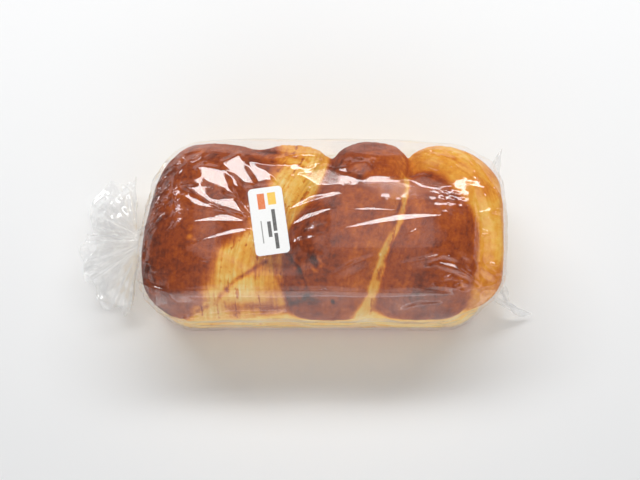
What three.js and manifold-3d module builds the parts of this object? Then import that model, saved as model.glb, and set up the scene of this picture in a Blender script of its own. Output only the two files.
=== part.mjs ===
// A tin-baked cinnamon twist loaf in a clear bag, with a paper sticker on the bag.
// The bag and what it holds are one closed solid: the tin-shaped base, the twisted
// strands of the crown, the gathered mouth at -X and the flat sealed end at +X.
// Millimetres, +Z up. The origin is on the table under the middle of the loaf,
// +X runs along the loaf towards the sealed end, and +Y is the back.
import * as THREE from "three";
import { mergeVertices } from "three/addons/utils/BufferGeometryUtils.js";
import Module from "manifold-3d";

const wasm = await Module();
wasm.setup();

// Driving dimensions: a 254 x 127 mm loaf tin, and the crown that rose out of it.
const tin = { halfLength: 127, halfWidth: 63.5, cornerRadius: 31 };
const overhang = 7.5; // how far the crown swells past the tin's rim
// The film hangs from the crown to the table, so its walls don't taper as the tin does.
const wall = { footInset: 5, brimInset: -1.5, brim: 58 };
const grooveTop = 93; // the height to which film and dough fill the grooves
const baseEdgeRadius = 7;
const label = {
  x: -36.5,
  y: 1.2,
  top: 103,
  width: 24.5,
  length: 49.5,
  cornerRadius: 3,
  turn: 8, // degrees anticlockwise, seen from above
  thickness: 0.5,
  gap: 0.3,
};

const lerp = THREE.MathUtils.lerp;
const smooth = THREE.MathUtils.smoothstep;

// A closed geometry from rings of equal point counts, with a fan at each end.
function skinRings(rings) {
  const count = rings[0].length;
  const centre = (ring) =>
    ring
      .reduce((sum, p) => sum.add(p), new THREE.Vector3())
      .divideScalar(ring.length);
  const points = [...rings.flat(), centre(rings[0]), centre(rings.at(-1))];
  const firstPole = rings.length * count;
  const faces = [];
  for (let j = 0; j < count; j++) {
    const k = (j + 1) % count;
    faces.push(firstPole, k, j);
    for (let i = 0; i + 1 < rings.length; i++) {
      const a = i * count;
      const b = a + count;
      faces.push(a + j, a + k, b + k, a + j, b + k, b + j);
    }
    const last = (rings.length - 1) * count;
    faces.push(firstPole + 1, last + j, last + k);
  }
  const geometry = new THREE.BufferGeometry().setFromPoints(points);
  geometry.setIndex(faces);
  return geometry;
}

// A rounded rectangle in plan, anticlockwise, with the same number of points at any size.
function roundedRectangle(halfX, halfY, radius, z, perCorner = 9, perSide = 5) {
  const r = Math.min(radius, halfX, halfY);
  const ring = [];
  const corners = [
    [halfX - r, halfY - r],
    [r - halfX, halfY - r],
    [r - halfX, r - halfY],
    [halfX - r, r - halfY],
  ];
  corners.forEach(([x, y], quarter) => {
    for (let i = 0; i < perCorner; i++) {
      const angle = (quarter + i / (perCorner - 1)) * (Math.PI / 2);
      ring.push(new THREE.Vector3(x + r * Math.cos(angle), y + r * Math.sin(angle), z));
    }
    const from = ring.at(-1);
    const [nextX, nextY] = corners[(quarter + 1) % 4];
    const nextAngle = (quarter + 1) * (Math.PI / 2);
    const to = new THREE.Vector3(
      nextX + r * Math.cos(nextAngle),
      nextY + r * Math.sin(nextAngle),
      z,
    );
    for (let i = 1; i < perSide; i++) ring.push(from.clone().lerp(to, i / perSide));
  });
  return ring;
}

const wallInset = (z) => lerp(wall.footInset, wall.brimInset, z / wall.brim);

function stackOfRings(levels) {
  return skinRings(
    levels.map(({ z, inset }) =>
      roundedRectangle(
        tin.halfLength - inset,
        tin.halfWidth - inset,
        tin.cornerRadius + 14 * smooth(z, wall.brim, grooveTop) - 0.4 * inset,
        z,
      ),
    ),
  );
}

// The straight walls and, above their brim, a low dome that fills the grooves.
function tinBody() {
  const levels = [];
  for (let i = 0; i <= 4; i++) {
    const a = (i / 4) * (Math.PI / 2);
    const z = baseEdgeRadius * (1 - Math.cos(a));
    levels.push({ z, inset: wallInset(z) + baseEdgeRadius * (1 - Math.sin(a)) });
  }
  for (let i = 1; i <= 4; i++) {
    const z = lerp(baseEdgeRadius, wall.brim, i / 4);
    levels.push({ z, inset: wallInset(z) });
  }
  for (let i = 1; i <= 10; i++) {
    const a = (i / 10) * (Math.PI / 2);
    const z = lerp(wall.brim, grooveTop, Math.sin(a));
    levels.push({ z, inset: wall.brimInset + 46 * (1 - Math.cos(a)) });
  }
  return stackOfRings(levels);
}

// The room the dough had to rise in: the tin's walls, and some free swelling above them.
function risingRoom() {
  return stackOfRings([
    { z: 20, inset: 6 },
    { z: wall.brim - 6, inset: 1 },
    { z: wall.brim + 2, inset: -overhang * 0.5 },
    { z: wall.brim + 10, inset: -overhang * 0.85 },
    { z: wall.brim + 18, inset: -overhang },
    { z: 125, inset: -overhang },
  ]);
}

// The strands of the twist, each from its front end over the crown to its back end.
// at: centre of the strand, wide: half its width, thick: half its depth.
const strands = {
  leftEnd: [
    { at: [-99, -44, 40], wide: 29, thick: 25 },
    { at: [-97, -40, 62], wide: 34, thick: 28 },
    { at: [-95, -20, 77], wide: 38, thick: 27 },
    { at: [-91, 6, 80], wide: 41, thick: 27 },
    { at: [-83, 30, 74], wide: 43, thick: 28 },
    { at: [-74, 40, 58], wide: 38, thick: 27 },
    { at: [-70, 42, 40], wide: 34, thick: 25 },
  ],
  stretched: [
    { at: [-52, -40, 42], wide: 34, thick: 24 },
    { at: [-53, -38, 62], wide: 37, thick: 26 },
    { at: [-53, -16, 75], wide: 34, thick: 26 },
    { at: [-40, 10, 76], wide: 31, thick: 25 },
    { at: [-22, 30, 68], wide: 30, thick: 25 },
    { at: [-12, 37, 54], wide: 28, thick: 24 },
    { at: [-10, 38, 42], wide: 26, thick: 22 },
  ],
  middle: [
    { at: [9, -44, 40], wide: 31, thick: 24 },
    { at: [8, -41, 62], wide: 36, thick: 28 },
    { at: [9, -18, 79], wide: 40, thick: 29 },
    { at: [19, 4, 82], wide: 41, thick: 29 },
    { at: [30, 28, 76], wide: 38, thick: 29 },
    { at: [36, 42, 60], wide: 32, thick: 28 },
    { at: [37, 44, 40], wide: 28, thick: 25 },
  ],
  rightTongue: [
    { at: [68, -44, 40], wide: 29, thick: 24 },
    { at: [72, -40, 62], wide: 34, thick: 28 },
    { at: [79, -18, 78], wide: 36, thick: 29 },
    { at: [84, 4, 80], wide: 32, thick: 29 },
    { at: [82, 22, 77], wide: 27, thick: 26 },
  ],
  rightEnd: [
    { at: [82, 44, 50], wide: 24, thick: 22 },
    { at: [92, 43, 68], wide: 27, thick: 24 },
    { at: [108, 26, 74], wide: 30, thick: 25 },
    { at: [111, -2, 75], wide: 30, thick: 25 },
    { at: [107, -26, 70], wide: 29, thick: 25 },
    { at: [100, -40, 56], wide: 26, thick: 23 },
    { at: [98, -42, 42], wide: 25, thick: 21 },
  ],
};
const strandAlong = 40;
const strandAround = 36;
const strandSquareness = 2.25; // 2 is an ellipse, more is squarer

const signedPower = (v, p) => Math.sign(v) * Math.abs(v) ** p;

// One strand: a swept section that faces outwards from the loaf's long axis, with round ends.
function strandGeometry(controls) {
  const path = new THREE.CatmullRomCurve3(
    controls.map((c) => new THREE.Vector3(...c.at)),
    false,
    "centripetal",
  );
  const sizes = new THREE.CatmullRomCurve3(
    controls.map((c) => new THREE.Vector3(c.wide, c.thick, 0)),
    false,
    "centripetal",
  );
  const axisHeight = 42;
  const axisEnd = tin.halfLength - 52;
  const rings = [];
  for (let i = 1; i < strandAlong; i++) {
    const s = (1 - Math.cos((Math.PI * i) / strandAlong)) / 2;
    const t = lerp(-0.12, 1.12, s);
    const end = Math.sqrt(Math.max(0, 1 - Math.max(0, Math.abs(2 * s - 1) - 0.55) ** 2 / 0.2025));
    const inside = THREE.MathUtils.clamp(t, 0, 1);
    const tangent = path.getTangent(inside);
    const centre = path.getPoint(inside).addScaledVector(tangent, (t - inside) * 60);
    const size = sizes.getPoint(inside);
    const onAxis = new THREE.Vector3(
      THREE.MathUtils.clamp(centre.x, -axisEnd, axisEnd),
      0,
      axisHeight,
    );
    const out = centre.clone().sub(onAxis);
    out.addScaledVector(tangent, -out.dot(tangent)).normalize();
    const across = new THREE.Vector3().crossVectors(out, tangent);
    const ring = [];
    for (let j = 0; j < strandAround; j++) {
      const a = (2 * Math.PI * j) / strandAround;
      const u = signedPower(Math.cos(a), 2 / strandSquareness) * size.x * end;
      const v = signedPower(Math.sin(a), 2 / strandSquareness) * size.y * end;
      ring.push(centre.clone().addScaledVector(across, u).addScaledVector(out, v));
    }
    rings.push(ring);
  }
  return skinRings(rings);
}

// The bag's gathered mouth: a pleated fan that opens from a neck and lies on the table.
const mouth = {
  neckX: -122,
  rimX: -178,
  neckRadius: 14,
  halfWidth: 56,
  halfHeight: 17,
  neckZ: 30,
  rimZ: 19,
  shift: 3, // how far the fan leans to the back
  pleats: 11,
  pleatDepth: 0.16,
};

function mouthGeometry() {
  const along = 9;
  const around = 66;
  const rings = [];
  for (let i = 0; i <= along; i++) {
    const s = 1 - i / along; // 1 at the rim, 0 at the neck
    const open = s ** 0.8;
    const halfY = lerp(mouth.neckRadius, mouth.halfWidth, open);
    const halfZ = lerp(mouth.neckRadius * 0.9, mouth.halfHeight, open);
    const ring = [];
    for (let j = 0; j < around; j++) {
      const a = (2 * Math.PI * j) / around;
      const pleat = 1 - mouth.pleatDepth * s * (0.5 + 0.5 * Math.cos(mouth.pleats * a + 0.6 * Math.sin(3 * a)));
      const bulge = 10 * s * (1 - Math.abs(Math.cos(a)));
      ring.push(
        new THREE.Vector3(
          lerp(mouth.neckX, mouth.rimX, s) + 26 * s * Math.cos(a) ** 2 - bulge * 0.3,
          mouth.shift * s + halfY * pleat * Math.cos(a),
          lerp(mouth.neckZ, mouth.rimZ, s) + halfZ * pleat * Math.sin(a),
        ),
      );
    }
    rings.push(ring);
  }
  return skinRings(rings);
}

// The bag's sealed end: film drawn from the loaf's end face to a flat seam with a corner
// that sticks out at each side. seam runs from the back corner to the front corner.
const seam = [
  { at: [138, 71, 46], inner: 107, low: 33, high: 53 },
  { at: [137, 52, 42], inner: 104, low: 12, high: 62 },
  { at: [137, 30, 36], inner: 100, low: 4, high: 72 },
  { at: [138, 0, 30], inner: 100, low: 4, high: 74 },
  { at: [142, -30, 22], inner: 100, low: 3, high: 66 },
  { at: [150, -50, 10], inner: 104, low: 1, high: 34 },
  { at: [164, -49, 5], inner: 107, low: 1.5, high: 18 },
];
const seamThickness = 1.6;

function sealedEndGeometry() {
  const path = new THREE.CatmullRomCurve3(
    seam.map((c) => new THREE.Vector3(...c.at)),
    false,
    "centripetal",
  );
  const faces = new THREE.CatmullRomCurve3(
    seam.map((c) => new THREE.Vector3(c.inner, c.low, c.high)),
    false,
    "centripetal",
  );
  const steps = 18;
  const rings = [];
  for (let i = 0; i <= steps; i++) {
    const edge = path.getPoint(i / steps);
    const { x: inner, y: low, z: high } = faces.getPoint(i / steps);
    const innerY = THREE.MathUtils.clamp(edge.y, -45, 45);
    const half = seamThickness / 2;
    const ring = [];
    for (const [side, height] of [
      [-1, low],
      [1, high],
    ]) {
      const steps = side < 0 ? [0, 0.35, 0.7, 1] : [1, 0.7, 0.35, 0];
      for (const s of steps) {
        const sag = 1 - (1 - s) ** 1.5; // the film curves in towards the seam
        ring.push(
          new THREE.Vector3(
            lerp(inner, edge.x, s),
            lerp(innerY, edge.y, s),
            lerp(height, edge.z + side * half, sag),
          ),
        );
      }
    }
    rings.push(ring);
  }
  return skinRings(rings);
}

// The film lies flat under the stiff label: a low pad whose sides slope down to the bread.
function labelFrame() {
  return new THREE.Matrix4()
    .makeTranslation(label.x, label.y, label.top)
    .multiply(new THREE.Matrix4().makeRotationZ(THREE.MathUtils.degToRad(label.turn)));
}

function labelPad() {
  const under = -label.thickness - label.gap;
  const levels = [
    [15, -14],
    [9, -6],
    [4, -1.6],
    [0.8, 0],
  ];
  return skinRings(
    levels.map(([spread, drop]) =>
      roundedRectangle(
        label.width / 2 + spread,
        label.length / 2 + spread,
        label.cornerRadius + spread,
        under + drop,
        5,
        3,
      ),
    ),
  ).applyMatrix4(labelFrame());
}

function stickerGeometry() {
  const { width, length, cornerRadius, thickness } = label;
  return skinRings(
    [-thickness, 0].map((z) =>
      roundedRectangle(width / 2, length / 2, cornerRadius, z, 6, 4),
    ),
  );
}

// A closed geometry as a manifold-3d solid, and back.
function solid(geometry) {
  const merged = mergeVertices(geometry, 1e-4);
  return new wasm.Manifold(
    new wasm.Mesh({
      numProp: 3,
      vertProperties: merged.attributes.position.array,
      triVerts: new Uint32Array(merged.index.array),
    }),
  );
}

function geometryOf(manifold) {
  const mesh = manifold.getMesh();
  const geometry = new THREE.BufferGeometry();
  geometry.setAttribute("position", new THREE.BufferAttribute(mesh.vertProperties, 3));
  geometry.setIndex(new THREE.BufferAttribute(mesh.triVerts, 1));
  geometry.computeVertexNormals();
  return geometry;
}

const join = (solids) => solids.reduce((whole, piece) => whole.add(piece));
const crown = join(Object.values(strands).map(strandGeometry).map(solid));
const bagSolid = join([
  crown.intersect(solid(risingRoom())),
  ...[tinBody(), mouthGeometry(), sealedEndGeometry(), labelPad()].map(solid),
]).simplify(0.012);

const crustMaterial = new THREE.MeshStandardMaterial({
  color: 0x9a4a1c,
  roughness: 0.4,
  metalness: 0,
});
const paperMaterial = new THREE.MeshStandardMaterial({
  color: 0xf4f4f4,
  roughness: 0.5,
  metalness: 0,
});

const bag = new THREE.Mesh(geometryOf(bagSolid), crustMaterial);
bag.name = "bag";

const sticker = new THREE.Mesh(stickerGeometry(), paperMaterial);
sticker.name = "label";
sticker.applyMatrix4(labelFrame());

const part = new THREE.Group();
part.add(bag, sticker);

export default part;
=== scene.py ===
import math
import bpy
import numpy as np
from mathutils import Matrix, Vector


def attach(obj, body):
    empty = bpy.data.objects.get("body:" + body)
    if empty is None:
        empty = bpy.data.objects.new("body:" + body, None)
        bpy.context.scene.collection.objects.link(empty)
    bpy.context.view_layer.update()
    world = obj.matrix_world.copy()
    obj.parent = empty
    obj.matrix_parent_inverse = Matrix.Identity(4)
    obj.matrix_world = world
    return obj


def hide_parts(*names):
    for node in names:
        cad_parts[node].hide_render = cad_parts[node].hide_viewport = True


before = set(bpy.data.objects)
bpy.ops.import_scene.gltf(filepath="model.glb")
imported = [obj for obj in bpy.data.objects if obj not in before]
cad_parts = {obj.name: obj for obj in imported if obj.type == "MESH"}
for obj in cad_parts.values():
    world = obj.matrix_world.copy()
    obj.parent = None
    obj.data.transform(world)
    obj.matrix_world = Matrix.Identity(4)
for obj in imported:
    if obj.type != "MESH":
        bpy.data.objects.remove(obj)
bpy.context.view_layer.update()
print("frame loaded")

mm = 0.001


def lerp(a, b, t):
    return a + (b - a) * t


def smoothStep(x, low, high):
    t = np.clip((x - low) / (high - low), 0, 1)
    return t * t * (3 - 2 * t)


def smoothMin(a, b, k):
    h = np.clip(0.5 + 0.5 * (b - a) / k, 0, 1)
    return b + (a - b) * h - k * h * (1 - h)


def smoothMax(a, b, k):
    return -smoothMin(-a, -b, k)


def bell(x):
    return np.exp(-(x**2))


def turned(x, y, degrees):
    # how far x, y lies along a line that is turned by so many degrees, and how far aside of it
    a = math.radians(degrees)
    return x * math.cos(a) + y * math.sin(a), y * math.cos(a) - x * math.sin(a)


def catmullRom(points, count):
    # a smooth path through rows of numbers, sampled evenly in its parameter
    p = np.array(points, float)
    p = np.vstack([2 * p[0] - p[1], p, 2 * p[-1] - p[-2]])
    t = np.linspace(0, len(points) - 1, count)
    i = np.minimum(t.astype(int), len(points) - 2)
    f = (t - i)[:, None]
    a, b, c, d = p[i], p[i + 1], p[i + 2], p[i + 3]
    cubic = (c - a) * f + (2 * a - 5 * b + 4 * c - d) * f**2 + (3 * b - a - 3 * c + d) * f**3
    return b + 0.5 * cubic


def cellCorners(cell, f):
    # the eight corners of each point's cell on a grid, and how much each counts
    for corner in range(8):
        o = np.array([corner & 1, corner >> 1 & 1, corner >> 2 & 1])
        yield cell + o, np.prod(np.where(o, f, 1 - f), axis=-1)


def valueNoise(p, scale, seed):
    # smooth noise from -1 to 1 at points p, one cell per scale
    q = np.asarray(p, float) / scale + 100.0
    cell = np.floor(q).astype(np.int64)
    f = q - cell
    f = f * f * (3 - 2 * f)
    total = 0.0
    for c, weight in cellCorners(cell, f):
        # an even spread of values, the same for the same corner and seed
        h = c[..., 0] * 374761393 + c[..., 1] * 668265263 + c[..., 2] * 2147483647 + seed * 974634777
        h = h & 0xFFFFFFFF
        h = ((h ^ (h >> 13)) * 1274126177) & 0xFFFFFFFF
        value = ((h ^ (h >> 16)) & 0xFFFF) / 32767.5 - 1
        total = total + value * weight
    return total


def crinkle(p, size, seed, folds=5):
    # flat facets between sharp folds, about one size wide, from -1 to 1
    draw = np.random.default_rng(seed)
    total = 0.0
    for k in range(folds):
        direction = draw.normal(size=3)
        direction /= np.linalg.norm(direction)
        wave = p @ direction / (size * draw.uniform(0.8, 1.9)) + draw.uniform()
        wave = wave + 0.3 * valueNoise(p, size * 3.0, seed + k)
        total = total + 1 - 4 * np.abs(wave - np.floor(wave) - 0.5)
    return total / math.sqrt(folds) / 1.6


class Value:
    # a node socket that can be used in sums
    def __init__(self, tree, socket):
        self.tree = tree
        self.socket = socket

    def math(self, operation, *others, clamp=False):
        node = self.tree.nodes.new("ShaderNodeMath")
        node.operation = operation
        node.use_clamp = clamp
        for slot, value in zip(node.inputs, (self, *others)):
            if isinstance(value, Value):
                self.tree.links.new(value.socket, slot)
            else:
                slot.default_value = value
        return Value(self.tree, node.outputs[0])

    def __add__(self, other):
        return self.math("ADD", other)

    def __sub__(self, other):
        return self.math("SUBTRACT", other)

    def __mul__(self, other):
        return self.math("MULTIPLY", other)

    def __truediv__(self, other):
        return self.math("DIVIDE", other)

    def __pow__(self, other):
        return self.math("POWER", other)

    def __rsub__(self, other):
        return (self * -1).math("ADD", other)

    __radd__ = __add__
    __rmul__ = __mul__

    def clamped(self):
        return self.math("ADD", 0.0, clamp=True)

    def least(self, other):
        return self.math("MINIMUM", other)

    def ramp(self, low, high):
        # 0 at low, 1 at high
        return ((self - low) / (high - low)).clamped()


class Finish:
    # the nodes of a material or of the world, and the short ways to add them
    def __init__(self, owner):
        self.owner = owner
        owner.use_nodes = True
        self.tree = owner.node_tree
        self.tree.nodes.clear()

    def fill(self, slot, value):
        if isinstance(value, Value):
            self.tree.links.new(value.socket, slot)
        else:
            slot.default_value = value

    def node(self, kind, settings=None, **sockets):
        node = self.tree.nodes.new("ShaderNode" + kind)
        for key, value in (settings or {}).items():
            if key == "stops":
                ramp = node.color_ramp
                while len(ramp.elements) < len(value):
                    ramp.elements.new(0.5)
                for element, (place, colour) in zip(ramp.elements, value):
                    element.position = place
                    element.color = (*colour, 1)
            else:
                setattr(node, key, value)
        for key, value in sockets.items():
            self.fill(self.slotOf(node, key), value)
        return node

    def slotOf(self, node, key):
        words = key.replace("_", " ").lower()
        for slot in node.inputs:
            if slot.enabled and slot.name.lower() == words:
                return slot
        raise KeyError(key)

    def out(self, node, name=None):
        outputs = [o for o in node.outputs if o.enabled]
        socket = next(o for o in outputs if name is None or o.name == name)
        return Value(self.tree, socket)

    def value(self, kind, settings=None, output=None, **sockets):
        return self.out(self.node(kind, settings, **sockets), output)

    def attribute(self, name):
        return self.value("Attribute", {"attribute_name": name}, "Fac")

    def noise(self, place, scale, detail=3.0, roughness=0.55):
        # centred on 0
        return self.value("TexNoise", Vector=place, Scale=scale, Detail=detail, Roughness=roughness) - 0.5

    def vector(self, x, y, z=0.0):
        return self.value("CombineXYZ", X=x, Y=y, Z=z)

    def mixColour(self, factor, a, b, blend="MIX"):
        node = self.node("Mix", {"data_type": "RGBA", "blend_type": blend})
        self.fill(node.inputs[0], factor)
        for slot, colour in zip(node.inputs[6:8], (a, b)):
            self.fill(slot, colour if isinstance(colour, Value) else (*colour, 1))
        return Value(self.tree, node.outputs[2])

    def mixShader(self, factor, a, b):
        node = self.node("MixShader")
        for slot, value in zip(node.inputs, (factor, a, b)):
            self.fill(slot, value)
        return self.out(node)

    def finish(self, shader, output="OutputMaterial"):
        self.node(output, Surface=shader)
        return self.owner


def newMaterial(name):
    return Finish(bpy.data.materials.new(name))


def srgb(r, g, b):
    # an 8-bit colour as the eye reads it, made linear
    shares = [c / 255 for c in (r, g, b)]
    return tuple(((c + 0.055) / 1.055) ** 2.4 if c > 0.04045 else c / 12.92 for c in shares)


loaf = {
    "halfLength": 127.0,  # of the tin at its rim, in mm like everything here
    "halfWidth": 63.5,
    "rim": 66.0,
    "taper": 2.5,
    "cornerRadius": 29.0,
    "baseEdge": 7.0,
    "overhang": 6.6,
    "swell": (-6.0, 14.0),  # the heights from the rim between which the overhang comes in
    "crownCorner": 37.0,
    "crownEase": 5.0,
    # how softly each strand meets those before it
    "joins": {"stretched": 9.0, "middle": 1.6, "rightTongue": 1.6, "rightEnd": 1.8},
    # the dough that fills the grooves between the strands
    "dome": {"foot": 52.0, "top": 91.0, "halfLength": 128.0, "ends": 3.2, "halfWidth": 62.0, "sides": 2.6},
    "domeEase": 12.0,
    "bodyEase": 5.0,
    "axisHeight": 44.0,  # of the line that the skin is cast from
    "axisEnd": 84.0,
    "spineHeight": 42.0,  # of the line that the strands lie round
    "spineEnd": 75.0,
    "squareness": 2.25,  # of a strand's section: 2 is an ellipse
    "strandEnd": 24.0,  # how far a strand rounds off beyond its last point
    "base": 0.8,  # the film lies under it
    "rings": 340,
    "around": 250,
    "topShare": 0.5,  # how much closer the points stand on top than at the middle of the sides
}

# at: the centre of the strand from its front end to its back end,
# size: half its width and half its depth, roll: its tilt in degrees, right side down
strands = {
    "leftEnd": {
        "at": [
            (-99, -44, 40), (-97, -40, 62), (-95, -20, 76), (-91, 6, 77.5), (-82, 30, 76),
            (-70, 43, 65), (-64, 45, 44),
        ],
        "size": [(29, 25), (34, 28), (37, 27), (37, 27), (39, 28), (40, 27), (37, 25)],
        "roll": 6,
    },
    "stretched": {
        "at": [
            (-52, -40, 42), (-53, -38, 62), (-53, -16, 75), (-40, 10, 76), (-24, 33, 72),
            (-20, 46, 60), (-20, 48, 43),
        ],
        "size": [(34, 24), (37, 26), (34, 26), (31, 25), (31, 25), (31, 26), (28, 24)],
        "roll": 6,
    },
    "middle": {
        "at": [
            (9, -44, 40), (8, -41, 62), (10, -18, 77), (24, 5, 79.5), (35, 29, 77),
            (38, 44, 65), (39, 46, 44),
        ],
        "size": [(31, 24), (36, 28), (39, 29), (35, 29), (33, 29), (31, 28), (28, 25)],
        "roll": 1,
    },
    "rightTongue": {
        "at": [(70, -44, 40), (75, -40, 62), (81, -18, 76), (86, 4, 78), (82, 20, 76)],
        "size": [(33, 24), (37, 28), (38, 29), (34, 29), (28, 26)],
        "roll": 3,
    },
    "rightEnd": {
        "at": [
            (82, 44, 50), (92, 43, 68), (110, 27, 74), (119, -1, 72), (117, -24, 67),
            (110, -39, 54), (106, -42, 42),
        ],
        "size": [(24, 22), (27, 24), (27, 25), (22, 25), (21, 25), (20, 23), (19, 21)],
        "roll": 0,
    },
}


def prepareStrand(strand, count=150):
    # points along the strand's middle, and which way is along, across and out there
    centre = catmullRom(strand["at"], count)
    size = catmullRom(strand["size"], count)
    along = np.gradient(centre, axis=0)
    stride = np.linalg.norm(along, axis=1)
    along /= stride[:, None]
    axis = centre.copy()
    axis[:, 0] = np.clip(axis[:, 0], -loaf["spineEnd"], loaf["spineEnd"])
    axis[:, 1] = 0
    axis[:, 2] = loaf["spineHeight"]
    out = centre - axis
    out -= along * (out * along).sum(1)[:, None]
    out /= np.linalg.norm(out, axis=1)[:, None]
    across = np.cross(out, along)
    across *= np.sign(across[:, :1])  # across points to the right, +X
    across, out = turned(across, out, -strand["roll"])
    return {
        "centre": centre,
        "along": along,
        "across": across,
        "out": out,
        "size": size,
        "stride": stride[:, None],
        "travel": np.cumsum(stride)[:, None],
    }


ready = {name: prepareStrand(s) for name, s in strands.items()}
strandNames = list(strands)


def strandField(p, s, fine=False):
    # signed distance, then the place across (-1 to 1), across in mm and along in mm
    c = s["centre"].astype(np.float32)
    p32 = p.astype(np.float32)
    near = np.empty(len(p), np.int64)
    half = (c**2).sum(1) / 2
    batch = 60000
    for i in range(0, len(p), batch):
        near[i : i + batch] = np.argmin(half - p32[i : i + batch] @ c.T, axis=1)
    last = len(c) - 1
    here = {key: values[near] for key, values in s.items()}
    v = p - here["centre"]
    beyond = (v * here["along"]).sum(1)
    if fine:  # between two points of the path
        other = np.clip(near + np.sign(beyond).astype(int), 0, last)
        share = np.minimum(np.abs(beyond)[:, None] / here["stride"], 0.5)
        here = {key: lerp(values, s[key][other], share) for key, values in here.items()}
        v = p - here["centre"]
        beyond = (v * here["along"]).sum(1)
    w, h = here["size"].T
    a = (v * here["across"]).sum(1) / w
    o = (v * here["out"]).sum(1) / h
    e = np.where(near == 0, np.minimum(beyond, 0), np.where(near == last, np.maximum(beyond, 0), 0))
    e = e / loaf["strandEnd"]
    n = loaf["squareness"]
    rho = (np.abs(a) ** n + np.abs(o) ** n + np.abs(e) ** n) ** (1 / n) + 1e-6
    reach = np.linalg.norm(v, axis=1)
    return reach * (1 - 1 / rho), a, a * w, here["travel"][:, 0] + beyond


def roundedOutline(p, halfX, halfY, r):
    qx = np.abs(p[:, 0]) - halfX + r
    qy = np.abs(p[:, 1]) - halfY + r
    return np.hypot(np.maximum(qx, 0), np.maximum(qy, 0)) - r + np.minimum(np.maximum(qx, qy), 0)


def tinInset(z):
    return loaf["taper"] * np.clip(1 - z / loaf["rim"], 0, 1)


def loafField(p, full=False):
    # the whole loaf as a signed distance, with what each point's colour needs
    z = p[:, 2]
    fields, places = {}, {}
    for name, s in ready.items():
        fields[name], *places[name] = strandField(p, s, full)
    crown = fields["leftEnd"]
    for name, ease in loaf["joins"].items():
        crown = smoothMin(crown, fields[name], ease)
    swell = loaf["overhang"] * smoothStep(z - loaf["rim"], *loaf["swell"])
    halfX = loaf["halfLength"] - tinInset(z)
    halfY = loaf["halfWidth"] - tinInset(z)
    outline = roundedOutline(p, halfX + swell, halfY + swell, loaf["crownCorner"])
    crown = smoothMax(crown, outline, loaf["crownEase"])
    wall = roundedOutline(p, halfX, halfY, loaf["cornerRadius"])
    r = loaf["baseEdge"]
    low = z - loaf["base"]
    edge = np.hypot(np.maximum(wall + r, 0), np.maximum(r - low, 0))
    wall = edge - r + np.minimum(np.maximum(wall, -low) + r, 0)
    d = loaf["dome"]
    towardsEnds = np.abs(p[:, 0] / d["halfLength"]) ** d["ends"]
    towardsSides = np.abs(p[:, 1] / d["halfWidth"]) ** d["sides"]
    dome = d["foot"] + (d["top"] - d["foot"]) * np.sqrt(np.clip(1 - towardsEnds - towardsSides, 0.001, 1))
    core = smoothMax(wall, (z - dome) * 0.8, loaf["domeEase"])
    body = smoothMin(crown, core, loaf["bodyEase"])
    if not full:
        return body
    return body, np.stack([fields[n] for n in strandNames]), places


def capsuleRays(rings, around):
    # rays that leave the loaf's long axis, fanned out round its two ends
    capShare = 0.27  # of the rings lie round each end
    capTurn = 88.6  # degrees from the first of them to the last
    u = np.linspace(0, 1, rings)
    leftCap, rightCap = -(1 - u / capShare), (u - 1 + capShare) / capShare
    theta = np.where(u < capShare, leftCap, np.where(u > 1 - capShare, rightCap, 0))
    theta = theta * math.radians(capTurn)
    x = loaf["axisEnd"] * np.clip((u - capShare) / (1 - 2 * capShare) * 2 - 1, -1, 1)
    phi = roundAngles(around)
    origin = np.zeros((rings, around, 3))
    origin[..., 0] = x[:, None]
    origin[..., 2] = loaf["axisHeight"]
    lengthways, sideways = np.sin(theta)[:, None], np.cos(theta)[:, None]
    direction = np.stack([lengthways + 0 * phi, sideways * np.cos(phi), sideways * np.sin(phi)], axis=-1)
    return origin, direction


def roundAngles(around):
    # once round from +Y over the top, closer together there than underneath
    t = np.linspace(0, 2 * math.pi, around, endpoint=False)
    return t + loaf["topShare"] * np.cos(t)


def castRays(origin, direction, field, near=8.0, far=100.0, steps=18, halvings=9):
    o = origin.reshape(-1, 3)
    d = direction.reshape(-1, 3)
    outer = np.full(len(o), far)
    inner = np.full(len(o), near)
    stillOpen = np.ones(len(o), bool)
    for r in np.linspace(far, near, steps):
        where = np.flatnonzero(stillOpen)
        inside = field(o[where] + d[where] * r) < 0
        inner[where[inside]] = r
        stillOpen[where[inside]] = False
        outer[where[~inside]] = r
    for _ in range(halvings):
        middle = (inner + outer) / 2
        inside = field(o + d * middle[:, None]) < 0
        inner = np.where(inside, middle, inner)
        outer = np.where(inside, outer, middle)
    return ((inner + outer) / 2).reshape(origin.shape[:-1])


def gridMesh(name, points, closedEnds=False, attributes=None):
    # a tube of quads from rings of points, in mm
    rings, around = points.shape[:2]
    verts = points.reshape(-1, 3)
    i = np.arange(rings - 1)[:, None] * around
    j = np.arange(around)
    k = (j + 1) % around
    faces = np.stack([i + j, i + k, i + around + k, i + around + j], axis=-1).reshape(-1, 4)
    faces, verts = faces.tolist(), verts.tolist()
    if closedEnds:
        verts += [points[0].mean(0).tolist(), points[-1].mean(0).tolist()]
        first, last = rings * around, (rings - 1) * around
        faces += [[first, b, a] for a, b in zip(j.tolist(), k.tolist())]
        faces += [[first + 1, last + a, last + b] for a, b in zip(j.tolist(), k.tolist())]
    mesh = bpy.data.meshes.new(name)
    mesh.from_pydata([(x * mm, y * mm, z * mm) for x, y, z in verts], [], faces)
    mesh.validate()
    for key, values in (attributes or {}).items():
        flat = values.reshape(-1).astype(np.float32)
        if closedEnds:
            ring = values.reshape(rings, around)
            flat = np.append(flat, [ring[0].mean(), ring[-1].mean()]).astype(np.float32)
        mesh.attributes.new(key, "FLOAT", "POINT").data.foreach_set("value", flat)
    mesh.shade_smooth()
    piece = bpy.data.objects.new(name, mesh)
    bpy.context.scene.collection.objects.link(piece)
    return piece


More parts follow.
